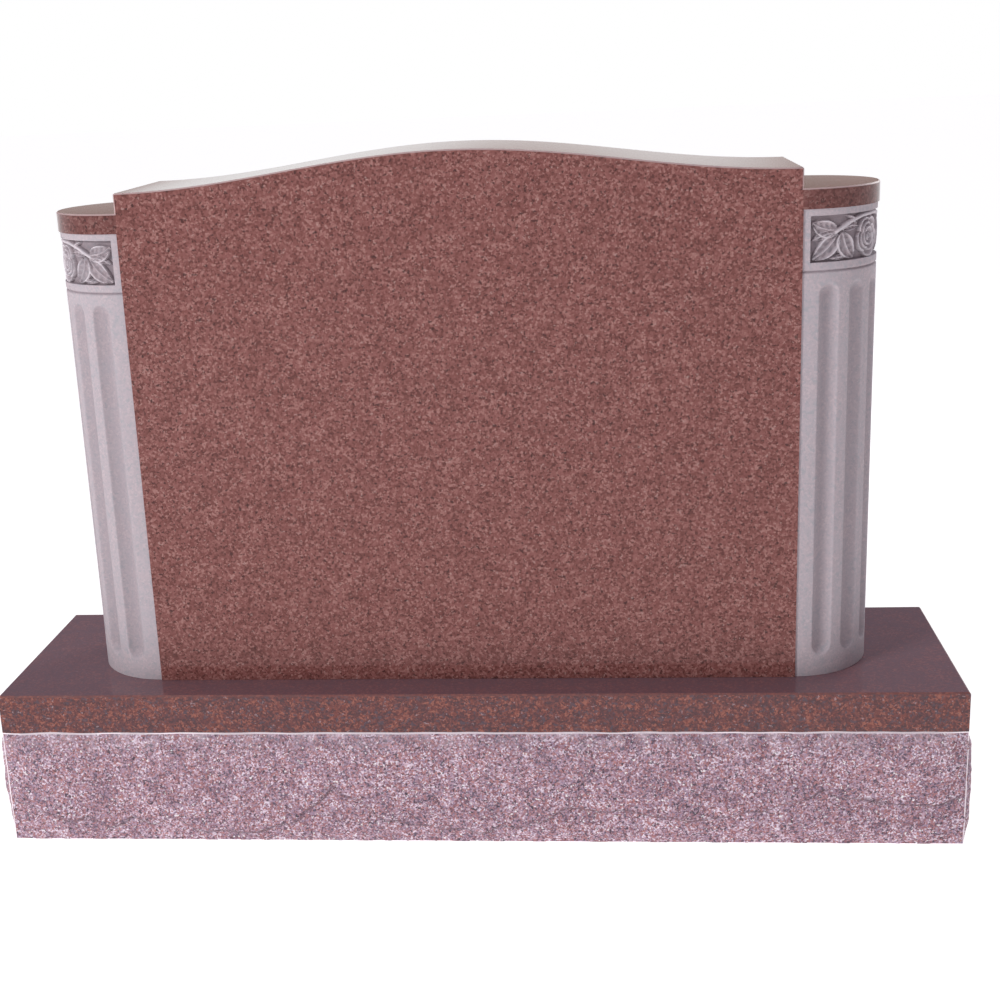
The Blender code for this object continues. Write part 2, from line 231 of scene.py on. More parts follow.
def specks(tree, where, size_mm, level, strength, seed):
    """A mask of one mineral: the strength where its own noise is above the level, and 0 between."""
    apart = (seed, seed / 2, seed / 3)
    moved = add(tree, "ShaderNodeVectorMath", {"operation": "ADD", 0: where, 1: apart})
    field = {"Vector": moved.outputs[0], "Scale": 1000 / size_mm, "Detail": OUTLINE_DETAIL}
    grown = add(tree, "ShaderNodeTexNoise", field).outputs["Fac"]
    rim = {"From Min": level, "From Max": level + SOFT_RIM, "To Min": 0.0, "To Max": strength}
    mask = {"interpolation_type": "SMOOTHSTEP", "Value": grown, **rim}
    return add(tree, "ShaderNodeMapRange", mask).outputs[0]


print("rim of a mineral:", SOFT_RIM, "of the noise")

# %% [markdown]
# All finishes are the same crystals, and only what is done to the surface changes their colour. So
# one recipe takes the feldspar's colours, the minerals in it, a tint that drifts over a few
# centimetres, and a bloom: the pale colour that bruised crystals take, which on the polished band
# and top stands for a painted reflection. Further tints follow attributes of the mesh: real
# bruising, painted shade in the hollows and under steps, and a painted highlight on crests. A bump
# stands for the tool marks that are too fine to model.

# %% Recipe of a finish
RAGGED, BEND_LENGTH = 1.0, 1.2  # how far and how often a crystal's sides are bent, in crystals
CLOUD = {"Detail": 7.0, "Roughness": 0.72}  # the drift of a tint is ragged down to single crystals
MOTTLE = {"From Min": 0.3, "From Max": 0.7}  # the cloud's noise that shifts the feldspar's colour
TINT = {"From Min": 0.40, "From Max": 0.60}  # and the part of it that lays the tint over
FIRST_SEED = 1.7
GRIT = {"Detail": 3.0, "Roughness": 0.6}
GRANITE_IOR = 1.54  # of feldspar and quartz


def granite(
    name, feldspar, crystal_mm, minerals, drift, bloom_and_reflection, roughness, gloss=0.5, bumps=(), wear_and_shade=()
):
    """One finish of the granite.

    minerals: (colour, size in mm, level, strength)   drift: (colour, size in mm, share)
    bloom_and_reflection: (colour, share), the pale of bruised crystals, and a painted
    reflection on the polished band and top
    gloss: 0.5 is the shine that the IOR gives, and less is duller
    bumps: (grain in mm, height in mm)
    wear_and_shade: (attribute, colour, strength), real bruising, painted shade and painted
    highlight
    """
    material = bpy.data.materials.new(name)
    material.use_nodes = True
    tree = material.node_tree
    stone = tree.nodes["Principled BSDF"]
    place = add(tree, "ShaderNodeTexCoord").outputs["Object"]
    bends = {"Scale": 1000 / (crystal_mm * BEND_LENGTH), "Detail": OUTLINE_DETAIL}
    bend = add(tree, "ShaderNodeTexNoise", {"Vector": place, **bends}).outputs["Color"]
    bent = {"operation": "MULTIPLY_ADD", 0: bend, 1: [RAGGED * crystal_mm / 1000] * 3, 2: place}
    ragged = add(tree, "ShaderNodeVectorMath", bent).outputs[0]
    cells = add(tree, "ShaderNodeTexVoronoi", {"Vector": ragged, "Scale": 1000 / crystal_mm})
    lot = add(tree, "ShaderNodeSeparateColor", {0: cells.outputs["Color"]})
    tint, drift_mm, drift_share = drift
    cloud = add(tree, "ShaderNodeTexNoise", {"Vector": place, "Scale": 1000 / drift_mm, **CLOUD})
    drifting = {"Value": cloud.outputs["Fac"], "To Min": drift_share, "To Max": -drift_share}
    mottle = add(tree, "ShaderNodeMapRange", {**drifting, **MOTTLE}).outputs[0]
    depth = add(tree, "ShaderNodeMath", {"operation": "ADD", 0: lot.outputs[0], 1: mottle})
    ramp = add(tree, "ShaderNodeValToRGB", {0: depth.outputs[0]})
    set_stops(ramp.color_ramp, feldspar)
    drifting = {"Value": cloud.outputs["Fac"], "To Min": 0.0, "To Max": drift_share}
    layers = [(add(tree, "ShaderNodeMapRange", {**drifting, **TINT}).outputs[0], tint)]
    for number, (code, size_mm, level, strength) in enumerate(minerals):
        mask = specks(tree, ragged, size_mm, level, strength, FIRST_SEED + number)
        layers.append((mask, code))
    layers.append((bloom_and_reflection[1], bloom_and_reflection[0]))
    # each attribute lays a tint: real bruising, painted shade and painted highlight
    for attribute, code, strength in wear_and_shade:
        tint_attribute = add(tree, "ShaderNodeAttribute", {"attribute_name": attribute})
        tint_share = {"operation": "MULTIPLY", 0: tint_attribute.outputs["Fac"], 1: strength}
        layers.append((add(tree, "ShaderNodeMath", tint_share).outputs[0], code))
    colour = ramp.outputs["Color"]
    for share, code in layers:
        over = {"data_type": "RGBA", 0: share, 6: colour, 7: linear(code)}
        colour = add(tree, "ShaderNodeMix", over).outputs[2]
    tree.links.new(colour, stone.inputs["Base Color"])
    stone.inputs["Roughness"].default_value = roughness
    stone.inputs["Specular IOR Level"].default_value = gloss
    stone.inputs["IOR"].default_value = GRANITE_IOR
    for grain_mm, height_mm in bumps:
        grit = add(tree, "ShaderNodeTexNoise", {"Vector": place, "Scale": 1000 / grain_mm, **GRIT})
        relief = {"Height": grit.outputs["Fac"], "Strength": 1.0, "Distance": height_mm / 1000}
        if stone.inputs["Normal"].is_linked:
            relief["Normal"] = stone.inputs["Normal"].links[0].from_socket
        bump = add(tree, "ShaderNodeBump", relief)
        tree.links.new(bump.outputs["Normal"], stone.inputs["Normal"])
    return material


print("refractive index:", GRANITE_IOR)

# %% [markdown]
# A polished face has no bump worth seeing and a roughness of 0.1, so it shows its crystals and a
# soft mirror image of the room. The band round the column tops mirrors the room's dark side, and
# its colour is painted deeper as a painted reflection of that side. A sandblasted face has every
# crystal bruised to a pale lilac grey by the grit, and is matt. Its hollows are painted darker as
# painted shade, and the crests of the carving are painted paler, partly as rubbing and partly as a
# painted highlight. The pits of the grit are 0.3 mm wide, which is too fine to show, so they are
# drawn three times as coarse. A rubbed arris is ground but not polished, so it reads as a pale
# line.

# %% Finishes of the die
RED_FELDSPAR = ((0.0, "5A302D"), (0.35, "7A4844"), (0.75, "8C5A56"), (1.0, "A0746E"))
RED_MINERALS = (("34201F", 5.0, 0.60, 0.75), ("B89A94", 4.0, 0.66, 0.5))  # black mica, pale quartz
polished = {
    "feldspar": RED_FELDSPAR,
    "crystal_mm": 2.5,
    "minerals": RED_MINERALS,
    "drift": ("805650", 26, 0.2),
    "roughness": 0.1,
}
polished_panel = granite("polished red granite", bloom_and_reflection=("9C7C7A", 0.045), gloss=0.15, **polished)
# painted reflection: the band's dark bloom stands for the room's dark side mirrored in it
polished_band = granite("polished red granite band", bloom_and_reflection=("42120F", 0.42), gloss=0.3, **polished)
sandblasted = granite(
    "sandblasted red granite",
    RED_FELDSPAR,
    crystal_mm=2.4,
    minerals=RED_MINERALS,
    drift=("8B7476", 30, 0.3),
    bloom_and_reflection=("D9D9E2", 0.52),
    roughness=0.85,
    bumps=((3.0, 0.35), (0.9, 0.25)),
    # painted shade darkens the hollows, and a painted highlight, partly rubbing, pales the crests
    wear_and_shade=(("painted_shade", "6A5A62", 0.56), ("rub_and_highlight", "EFE8EE", 0.5)),
)
rubbed = granite(
    "rubbed arris of red granite",
    RED_FELDSPAR,
    crystal_mm=2.2,
    minerals=RED_MINERALS,
    drift=("8B7476", 30, 0.3),
    bloom_and_reflection=("D8BEBC", 0.75),
    roughness=0.45,
    bumps=((1.5, 0.1),),
)
die_stones = [polished_panel, sandblasted, rubbed, polished_band]
print("finishes of the die:", [stone.name for stone in die_stones])

# %% [markdown]
# The band of roses is low relief, cut into a field 6 mm deep. It could be sculpted by hand, but
# leaves and petals are easier to state as rules. Each motif is worked out as a height over the
# whole field, and where two meet the higher one wins, which leaves the same sharp valley that a
# chisel leaves. Heights are shares of the field's depth.

# %% Spots of the field
COLUMNS = 396  # spans round one end
turns = np.linspace(0.0, 180.0, COLUMNS + 1)
PER_DEGREE = radians(1) * BLAST_RADIUS / FIELD_HEIGHT  # a degree round the end, in field heights


def spot_of(place):
    """(degrees round the end, share of the field's height) as a flat spot in field heights."""
    return np.array([place[0] * PER_DEGREE, place[1]])


def ease(x):
    """0 below 0, 1 above 1, and a soft step between."""
    x = np.clip(x, 0, 1)
    return x * x * (3 - 2 * x)


def against(spots, line):
    """The number of a line's nearest point, the offset to its side and the way past its ends."""
    number = ((spots[..., None, :] - line) ** 2).sum(-1).argmin(-1)
    heading = np.gradient(line, axis=0)
    heading /= np.linalg.norm(heading, axis=1)[:, None]
    gap = spots - line[number]
    along = np.abs((gap * heading[number]).sum(-1))
    offset = gap[..., 1] * heading[number][..., 0] - gap[..., 0] * heading[number][..., 1]
    ends = (number == 0) | (number == len(line) - 1)
    return number, offset, np.where(ends, along, 0.0)


print("a degree round the end is", round(PER_DEGREE * FIELD_HEIGHT * 1000, 2), "mm")

# %% [markdown]
# A rose leaf has a strong midrib and side veins that run slantwise to the margin. Here the margins
# curl up and the blade between is scooped out, as the carver cuts them so that they catch the
# light. The stalk is a half-round rod along a smooth path.

# %% Leaves and stalk
LEAF_POINTS = 91  # along a midrib
LEAF_CURVE = 0.8  # below 1 a leaf is widest nearer its foot, with a blunter tip
LEAF_RIM = 0.020  # width of the steep rim of a leaf
MARGIN_HEIGHT, MARGIN_PLACE, MARGIN_WIDTH = 0.62, 0.82, 0.17  # places across are shares of a half
RIB_HEIGHT, RIB_WIDTH = 0.56, 0.022
VEIN_HEIGHT, VEIN_PAIRS, VEIN_SLANT, VEIN_MIDDLE = 0.12, 4.5, 0.9, 0.45
BLADE_HEIGHT, BLADE_SWELL = 0.26, 0.10
STALK_HALF_WIDTH, STALK_SIDE, STALK_ROUND = 0.050, 0.35, 0.60
STALK_POINTS, SMOOTH_POINTS, SMOOTH_REACH = 240, 41, 2.2


def leaf_height(spots, foot, tip, half_width, bow):
    """One leaf from foot to tip, with its midrib bowed to one side."""
    share = np.linspace(0.0, 1.0, LEAF_POINTS)
    run = spot_of(tip) - spot_of(foot)
    side = np.array([-run[1], run[0]]) / np.hypot(*run)
    midrib = spot_of(foot) + np.outer(share, run) + np.outer(bow * np.sin(pi * share), side)
    number, offset, past = against(spots, midrib)
    t = share[number]
    half = half_width * np.sin(pi * np.clip(t, 0.002, 0.998) ** LEAF_CURVE) ** LEAF_CURVE
    ratio = np.abs(offset) / half
    edge = ease((half - np.abs(offset) - past) / LEAF_RIM)
    margin = MARGIN_HEIGHT * np.exp(-(((ratio - MARGIN_PLACE) / MARGIN_WIDTH) ** 2))
    thinning = np.sin(pi * np.clip(t, 0, 0.97) ** 0.7) ** 0.3  # the midrib fades at the tip
    rib = RIB_HEIGHT * np.exp(-((offset / RIB_WIDTH) ** 2)) * thinning
    waves = np.cos(2 * pi * (VEIN_PAIRS * t - VEIN_SLANT * ratio))
    veins = VEIN_HEIGHT * waves * ease(1 - np.abs(ratio - VEIN_MIDDLE) / VEIN_MIDDLE)
    return edge * (BLADE_HEIGHT + BLADE_SWELL * np.sin(pi * t) + margin + rib + veins)


def stalk_height(spots, route):
    """A half-round rod along a smooth line through the route's places."""
    knots = np.array([spot_of(place) for place in route])
    at = np.linspace(0, len(knots) - 1, STALK_POINTS)
    line = np.stack([np.interp(at, range(len(knots)), knots[:, k]) for k in (0, 1)], 1)
    soft = np.exp(-np.linspace(-SMOOTH_REACH, SMOOTH_REACH, SMOOTH_POINTS) ** 2)
    soft /= soft.sum()
    more = SMOOTH_POINTS // 2
    padded = np.vstack([np.repeat(line[:1], more, 0), line, np.repeat(line[-1:], more, 0)])
    line = np.stack([np.convolve(padded[:, k], soft, "valid") for k in (0, 1)], 1)
    _, offset, past = against(spots, line)
    away = np.hypot(offset, past) / STALK_HALF_WIDTH
    arched = STALK_SIDE + STALK_ROUND * np.sqrt(np.clip(1 - away**2, 0, 1))
    return np.where(away < 1, arched, 0)


print("a stalk is", round(2 * STALK_HALF_WIDTH * FIELD_HEIGHT * 1000, 1), "mm thick")

# %% [markdown]
# The rose is seen from above. Three rows of petals stand one inside the other, five, four and three
# to a row. A petal is a cup: low where it meets the next row, rising to a rolled rim, with one side
# lapped over its neighbour. The heart is a bud still rolled up, so its height follows a spiral.

# %% Rose
ROSE_MIDDLE, ROSE_RADIUS = (56.0, 0.46), 0.45
PETAL_ROWS = (
    # rim and cup as shares of the radius, their heights, petals, turn in radians
    (1.00, 0.70, 0.98, 0.30, 5, 0.30),
    (0.72, 0.46, 1.00, 0.34, 4, 1.20),
    (0.48, 0.24, 1.00, 0.40, 3, 0.35),
)
PETAL_SIDES, PETAL_BULGE, BULGE_CURVE = 0.88, 0.15, 0.55  # a petal reaches least at its sides
PETAL_RISE, PETAL_EDGE = 1.15, 0.045
RIM_FROM, RIM_RUN, RIM_DROP = 0.92, 0.08, 0.12  # the rolled rim falls again beyond its crest
LAP, LAP_FROM, LAP_RUN = 0.26, 0.55, 0.3  # one side of a petal stands this much above the other
HEART, HEART_REACH, HEART_EDGE = 0.24, 1.1, 0.3  # the bud's radius is a share of the rose's
BUD_HEIGHT, BUD_SWING, BUD_TURN = 0.70, 0.30, 0.5


def rose_height(spots):
    """Rows of lapping petals round a rolled heart."""
    gap = spots - spot_of(ROSE_MIDDLE)
    reach = np.hypot(gap[..., 0], gap[..., 1])
    turn = np.arctan2(gap[..., 1], gap[..., 0])
    height = np.zeros_like(reach)
    for rim, cup, high, low, petals, start in PETAL_ROWS:
        place = ((turn - start) / (2 * pi) * petals) % 1  # 0 at one side of a petal, 1 at the other
        bulge = PETAL_BULGE * np.abs(np.sin(pi * place)) ** BULGE_CURVE
        out = reach / (ROSE_RADIUS * rim * (PETAL_SIDES + bulge))
        rise = ease((out - cup / rim) / (1 - cup / rim) * PETAL_RISE)
        petal = low + (high - RIM_DROP * ease((out - RIM_FROM) / RIM_RUN) - low) * rise
        petal += LAP * (place - 0.5) * ease((out - LAP_FROM * cup / rim) / LAP_RUN)
        over = ease((1 - out) / PETAL_EDGE)
        height = petal * over + height * (1 - over)
    heart = ROSE_RADIUS * HEART
    bud = BUD_HEIGHT + BUD_SWING * np.cos(turn - 2 * pi * reach / (BUD_TURN * heart))
    over = ease((heart * HEART_REACH - reach) / (HEART_EDGE * heart))
    return bud * over + height * (1 - over)


print("petals of a rose:", sum(petals for *_, petals, _ in PETAL_ROWS))

# %% [markdown]
# A quarter of a turn is worked out, from the front to the middle of the side, and mirrored for the
# back, because masons repeat a stencil. The two ends are the same.

# %% Carved band
LEAVES = (
    # foot, tip, half width, bow of the midrib
    ((25.5, 0.68), (5.8, 0.86), 0.21, 0.06),
    ((24.0, 0.62), (5.6, 0.45), 0.10, -0.04),
    ((25.5, 0.60), (6.0, 0.05), 0.22, 0.05),
    ((29.0, 0.63), (39.5, 0.04), 0.24, -0.08),
    ((33.0, 0.10), (18.0, 0.06), 0.07, 0.0),
    ((28.5, 0.66), (44.5, 0.70), 0.12, 0.06),
    ((41.0, 0.88), (31.5, 0.98), 0.05, 0.0),
    ((86.0, 0.86), (75.5, 0.06), 0.15, 0.06),
    ((80.0, 0.90), (72.5, 0.66), 0.08, -0.03),
    ((90.0, 0.87), (90.0, 0.04), 0.17, 0.0),
)
STALK = ((23, 0.62), (29, 0.72), (37, 0.84), (48, 0.93), (66, 0.95), (80, 0.90), (90, 0.89))
FIELD_ROWS = 64
shares = np.linspace(0.01, 0.99, FIELD_ROWS)
quarter = COLUMNS // 2 + 1
spots = np.stack(np.meshgrid(turns[:quarter] * PER_DEGREE, shares), -1)
relief = np.zeros(spots.shape[:2])
for leaf in LEAVES:
    relief = np.maximum(relief, leaf_height(spots, *leaf))
relief = np.maximum(relief, stalk_height(spots, STALK))
relief = np.clip(np.maximum(relief, rose_height(spots)), 0.0, 1.0)
relief = np.hstack([relief, relief[:, -2::-1]])
print("carved field:", relief.shape, "bare floor", round((relief < 0.05).mean(), 2))

# %% [markdown]
# The half-round end is a lathe form, so it is a grid of angles and heights with one radius for each
# point. The rows lie close together where something is carved, and far apart where the stone runs
# straight. Flutes are left for a later step, and the rows are only made ready for them. Beside the
# radius each point keeps a painted shade, from how deep it lies in the carving and in the groove,
# and a paler paint near a crest, partly rubbing and partly a painted highlight. The finish reads
# both.

# %% Radius of a half-round end at each row


def levels(low, high, step):
    """Evenly spaced heights from low up to but without high."""
    count = max(1, math.ceil((high - low) / step))
    return [low + (high - low) * i / count for i in range(count)]


ROUND_END = FLUTE_WIDTH / 2 + 0.001  # height of a flute's rounded end
CLOSE_ROWS, FAR_ROWS = 0.0014, 0.080
FLUTE_ROOM = 0.003  # the close rows go on this far past a flute
GROOVE_ROWS = (-0.8, -0.5, -0.25, 0.0, 0.25, 0.5, 0.8)  # in groove widths
# painted shade in the groove
GROOVE_SHADE = 0.8
low_straight, high_straight = FLUTE_FOOT + ROUND_END, FLUTE_TOP - ROUND_END
heights = [DIE_FOOT]
heights += levels(FLUTE_FOOT - FLUTE_ROOM, low_straight, CLOSE_ROWS)
heights += levels(low_straight, high_straight, FAR_ROWS)
heights += levels(high_straight, FLUTE_TOP + FLUTE_ROOM, CLOSE_ROWS)
heights += [FLUTE_TOP + FLUTE_ROOM]
heights += [GROOVE_Z + GROOVE_WIDTH * k for k in GROOVE_ROWS]
heights += [FIELD_FOOT]
field_rows = slice(len(heights), len(heights) + FIELD_ROWS)
heights += [FIELD_FOOT + FIELD_HEIGHT * share for share in shares]
heights += [FIELD_TOP, BLAST_TOP]
heights = np.array(heights)
radii = np.full((len(heights), COLUMNS + 1), BLAST_RADIUS)
grooved = np.clip(1 - np.abs(heights - GROOVE_Z) / (GROOVE_WIDTH / 2), 0, 1)
radii -= GROOVE_DEPTH * grooved[:, None]
in_field = (turns > FIELD_EDGE + 0.01) & (turns < 180 - FIELD_EDGE - 0.01)
field = (field_rows, in_field)
radii[field] = (FLOOR_RADIUS + FIELD_DEPTH * relief)[:, in_field]
FULL_SUN = 0.85  # parts of the carving above this share of its depth are as pale as the rest
deep = np.clip(1 - relief / FULL_SUN, 0, 1)
# painted shade: the deep parts of the carving and the groove are painted darker
painted_shades = np.zeros_like(radii) + GROOVE_SHADE * grooved[:, None]
painted_shades[field] = deep[:, in_field]
RUB_AND_HIGHLIGHT_FROM = 0.75  # the highest parts are painted paler still, partly as rubbing and partly as a painted highlight
crests = np.clip((relief - RUB_AND_HIGHLIGHT_FROM) / (1 - RUB_AND_HIGHLIGHT_FROM), 0, 1)
# painted highlight, partly rubbing, on the crests of the carving
ridges = np.zeros_like(radii)
ridges[field] = crests[:, in_field]
print("rows of an end:", len(heights), "points:", radii.size)

# %% [markdown]
# The die is one block, so it becomes one closed mesh. The two ends are grids, and the flat faces
# between them are single polygons whose corners are shared with the grids.

# %% Ends of the die
POLISHED, BLASTED, RUBBED, BAND = 0, 1, 2, 3
points, faces, finishes = [], [], []


def place(x, y, z):
    """Adds a point and gives its number."""
    points.append((x, y, z))
    return len(points) - 1


def face(corners, finish):
    """Adds a face with its finish."""
    faces.append(corners)
    finishes.append(finish)


def strip(a, b, finish):
    """Faces between two rows of the same length."""
    for i in range(len(a) - 1):
        face((a[i], a[i + 1], b[i + 1], b[i]), finish)


cosines, sines = np.cos(np.radians(turns)), np.sin(np.radians(turns))


def end_row(side, row_radii, z):
    """A row of points round one end."""
    axis = PANEL_WIDTH / 2
    around = zip(row_radii, sines, cosines)
    return [place(side * (axis + r * s), -r * c, z) for r, s, c in around]


full = np.full(COLUMNS + 1, END_RADIUS)
ends = {}
for side in (-1, 1):
    rows = [end_row(side, radii[j], heights[j]) for j in range(len(heights))]
    for a, b in zip(rows, rows[1:]):
        strip(a, b, BLASTED)
    band_foot = end_row(side, full, BLAST_TOP)
    band_top = end_row(side, full, COLUMN_TOP)
    strip(rows[-1], band_foot, BLASTED)
    strip(band_foot, band_top, BAND)
    face(band_top, POLISHED)
    ends[side] = (rows, band_foot, band_top)
print("points so far:", len(points))

# %% [markdown]
# The serpentine top is one wave of a cosine. The panel stands 2 mm proud of the blasted ends, so a
# narrow wall joins them down each side. The underside takes in the whole foot.

# %% Flat faces of the die
TOP_SPANS = 96


def serpentine(x):
    """Height of the curved top, level at both shoulders."""
    return SHOULDER_Z + SERPENTINE_RISE * (1 + math.cos(2 * pi * x / PANEL_WIDTH)) / 2


skyline, feet = {}, {}
for edge, y in ((0, -END_RADIUS), (-1, END_RADIUS)):
    xs = [PANEL_WIDTH * (i / TOP_SPANS - 0.5) for i in range(TOP_SPANS + 1)]
    skyline[edge] = [place(x, y, serpentine(x)) for x in xs]
    feet[edge] = {side: place(side * PANEL_WIDTH / 2, y, DIE_FOOT) for side in (-1, 1)}
    outline = [feet[edge][-1], feet[edge][1], ends[1][1][edge], ends[1][2][edge]]
    outline += reversed(skyline[edge])
    outline += [ends[-1][2][edge], ends[-1][1][edge]]
    face(outline, POLISHED)
    for side in (-1, 1):
        rows, band_foot, _ = ends[side]
        face([feet[edge][side], band_foot[edge]] + [row[edge] for row in reversed(rows)], BLASTED)
strip(skyline[0], skyline[-1], POLISHED)
for side, last in ((-1, 0), (1, -1)):
    top = ends[side][2]
    face([top[0], skyline[0][last], skyline[-1][last], top[-1]], POLISHED)
right_foot, left_foot = ends[1][0][0], ends[-1][0][0]
under = [feet[0][1], *right_foot, feet[-1][1], feet[-1][-1], *reversed(left_foot), feet[0][-1]]
face(under, POLISHED)
print("faces of the die:", len(faces))

# %% [markdown]
# The lists of points and faces become a mesh object. Its normals are recalculated once, while it is
# closed and plain, so that all of them point out. The painted shade of the hollows and the painted
# highlight of the crests, which is partly rubbing, go on as attributes.

# %% Die block


def make_piece(name, points, faces, finishes, materials):
    """One closed mesh object with its faces out."""
    mesh = bpy.data.meshes.new(name)
    mesh.from_pydata(points, [], faces)
    for material in materials:
        mesh.materials.append(material)
    mesh.polygons.foreach_set("material_index", finishes)
    work = bmesh.new()
    work.from_mesh(mesh)
    bmesh.ops.recalc_face_normals(work, faces=work.faces)
    print(name, "open edges:", sum(not e.is_manifold for e in work.edges))
    work.to_mesh(mesh)
    work.free()
    mesh.shade_smooth()
    return put(name, mesh)


die = make_piece("granite_die", points, faces, finishes, die_stones)
for name, grid in (("painted_shade", painted_shades), ("rub_and_highlight", ridges)):
    marks = np.zeros(len(points))
    for side in (-1, 1):
        for row, values in zip(ends[side][0], grid):
            marks[row] = values
    die.data.attributes.new(name, "FLOAT", "POINT").data.foreach_set("value", marks)

# %% [markdown]
# A polished edge is never left knife sharp: the polisher rubs a small flat along it, and that arris
# stays matt, so it shows as a pale line along the serpentine top and round the column tops. A Bevel
# modifier that follows a weight on chosen edges does this in one step, and it can give the new
# faces their own finish.

# %% Rubbed arrises
NARROWER = 0.8  # the die's arrises beside the base's
weights = die.data.attributes.new("bevel_weight_edge", "FLOAT", "EDGE")
tops = {i for edge in (0, -1) for i in skyline[edge]}
rims = {i for side in (-1, 1) for i in ends[side][2]}
shoulders = {skyline[edge][k] for edge in (0, -1) for k in (0, -1)}
corners = {ends[side][2][k] for side in (-1, 1) for k in (0, -1)}
chosen = 0
for edge in die.data.edges:
    pair = set(edge.vertices)
    along_top = pair <= tops and len({points[i][1] for i in pair}) == 1
    round_rim = pair <= rims and not pair <= corners
    up_shoulder = pair & shoulders and pair & corners
    if along_top or round_rim or up_shoulder or pair <= shoulders:
        weights.data[edge.index].value = 1.0
        chosen += 1
rub = die.modifiers.new("arris", "BEVEL")
rub.limit_method = "WEIGHT"
rub.width = ARRIS * NARROWER
rub.segments = 1
rub.material = RUBBED
rub.use_clamp_overlap = True
print("edges rubbed:", chosen)

# %% [markdown]
# The flutes are evenly spaced and follow one rule, so Geometry Nodes cut them. Seen from above, a
# flute is a circle that bites into the end's circle. For a point at some angle from the flute's
# middle, the distance from the end's axis to that circle has a closed form. The stone keeps the
# smaller of the two radii, and a smooth minimum rounds the lip, because grit wears a sharp edge. At
# top and bottom the circle shrinks like the end of a ball.

# %% Sizes of a flute
half = FLUTE_WIDTH / 2
lip = math.sqrt(BLAST_RADIUS**2 - half**2)
sink = FLUTE_DEPTH - (BLAST_RADIUS - lip)
bar = (half**2 + sink**2) / (2 * sink)
pitch = (180 - 2 * FIRST_FLUTE) / (FLUTE_COUNT - 1)
FLUTE_SHADE = 0.5  # painted shade: a flute's bottom is painted half as dark as the floor of the carving
FLUTE_SIZES = {
    "Axis from middle": PANEL_WIDTH / 2,
    "First flute": radians(FIRST_FLUTE),
    "Pitch": radians(pitch),
    "Last flute": FLUTE_COUNT - 1.0,
    "Bar radius": bar,
    "Bar distance": lip - sink + bar,
    "Straight from": FLUTE_FOOT + half,
    "Straight to": FLUTE_TOP - half,
    "Worn edge": 0.0022,
    "Hollow per metre": FLUTE_SHADE / FLUTE_DEPTH,
}
print("flute bar radius", round(bar * 1000, 1), "mm, pitch", round(pitch, 1), "degrees")

# %% [markdown]
# The arithmetic of a tree is written as a table, one step to a line: what it gives, the operation,
# and what it works on. A word stands for an input or an earlier result. Three helpers start a tree,
# turn each line into a node, and end the tree on a piece. The base uses them too.

# %% Helpers for a rule that moves points


def start_rule(name, sizes):
    """A geometry tree that takes the sizes, and the sockets they come from."""
    tree = bpy.data.node_groups.new(name, "GeometryNodeTree")
    for way in ("INPUT", "OUTPUT"):
        tree.interface.new_socket("Geometry", in_out=way, socket_type="NodeSocketGeometry")
    for key, value in sizes.items():
        size = tree.interface.new_socket(key, in_out="INPUT", socket_type="NodeSocketFloat")
        size.default_value = value
    given = add(tree, "NodeGroupInput").outputs
    return tree, {key: given[key] for key in ("Geometry", *sizes)}


def take_steps(tree, known, steps):
    """Adds each step to the tree, and its result to what is known."""
    for result, operation, *terms in steps:
        inputs = {k: known.get(term, term) for k, term in enumerate(terms)}
        step = add(tree, "ShaderNodeMath", {"operation": operation, **inputs})
        known[result] = step.outputs[0]


def end_rule(tree, moved, chosen, material, piece):
    """Makes the result real, gives the chosen part a finish and puts the tree on a piece."""
    real = add(tree, "GeometryNodeRealizeInstances", {0: moved.outputs[0]})
    finish = {"Geometry": real.outputs[0], "Selection": chosen, "Material": material}
    finished = add(tree, "GeometryNodeSetMaterial", finish)
    add(tree, "NodeGroupOutput", {0: finished.outputs[0]})
    piece.modifiers.new(tree.name, "NODES").node_group = tree
    bpy.context.view_layer.update()
    print("modifiers of", piece.name, [modifier.name for modifier in piece.modifiers])


# %% [markdown]
# A point of an end is turned into an angle and a radius about the end's axis. The angle says which
# of the flutes is nearest, the rule above gives the new radius, and the last two steps give how
# much painted shade the finish takes there, from how deep the cut goes.

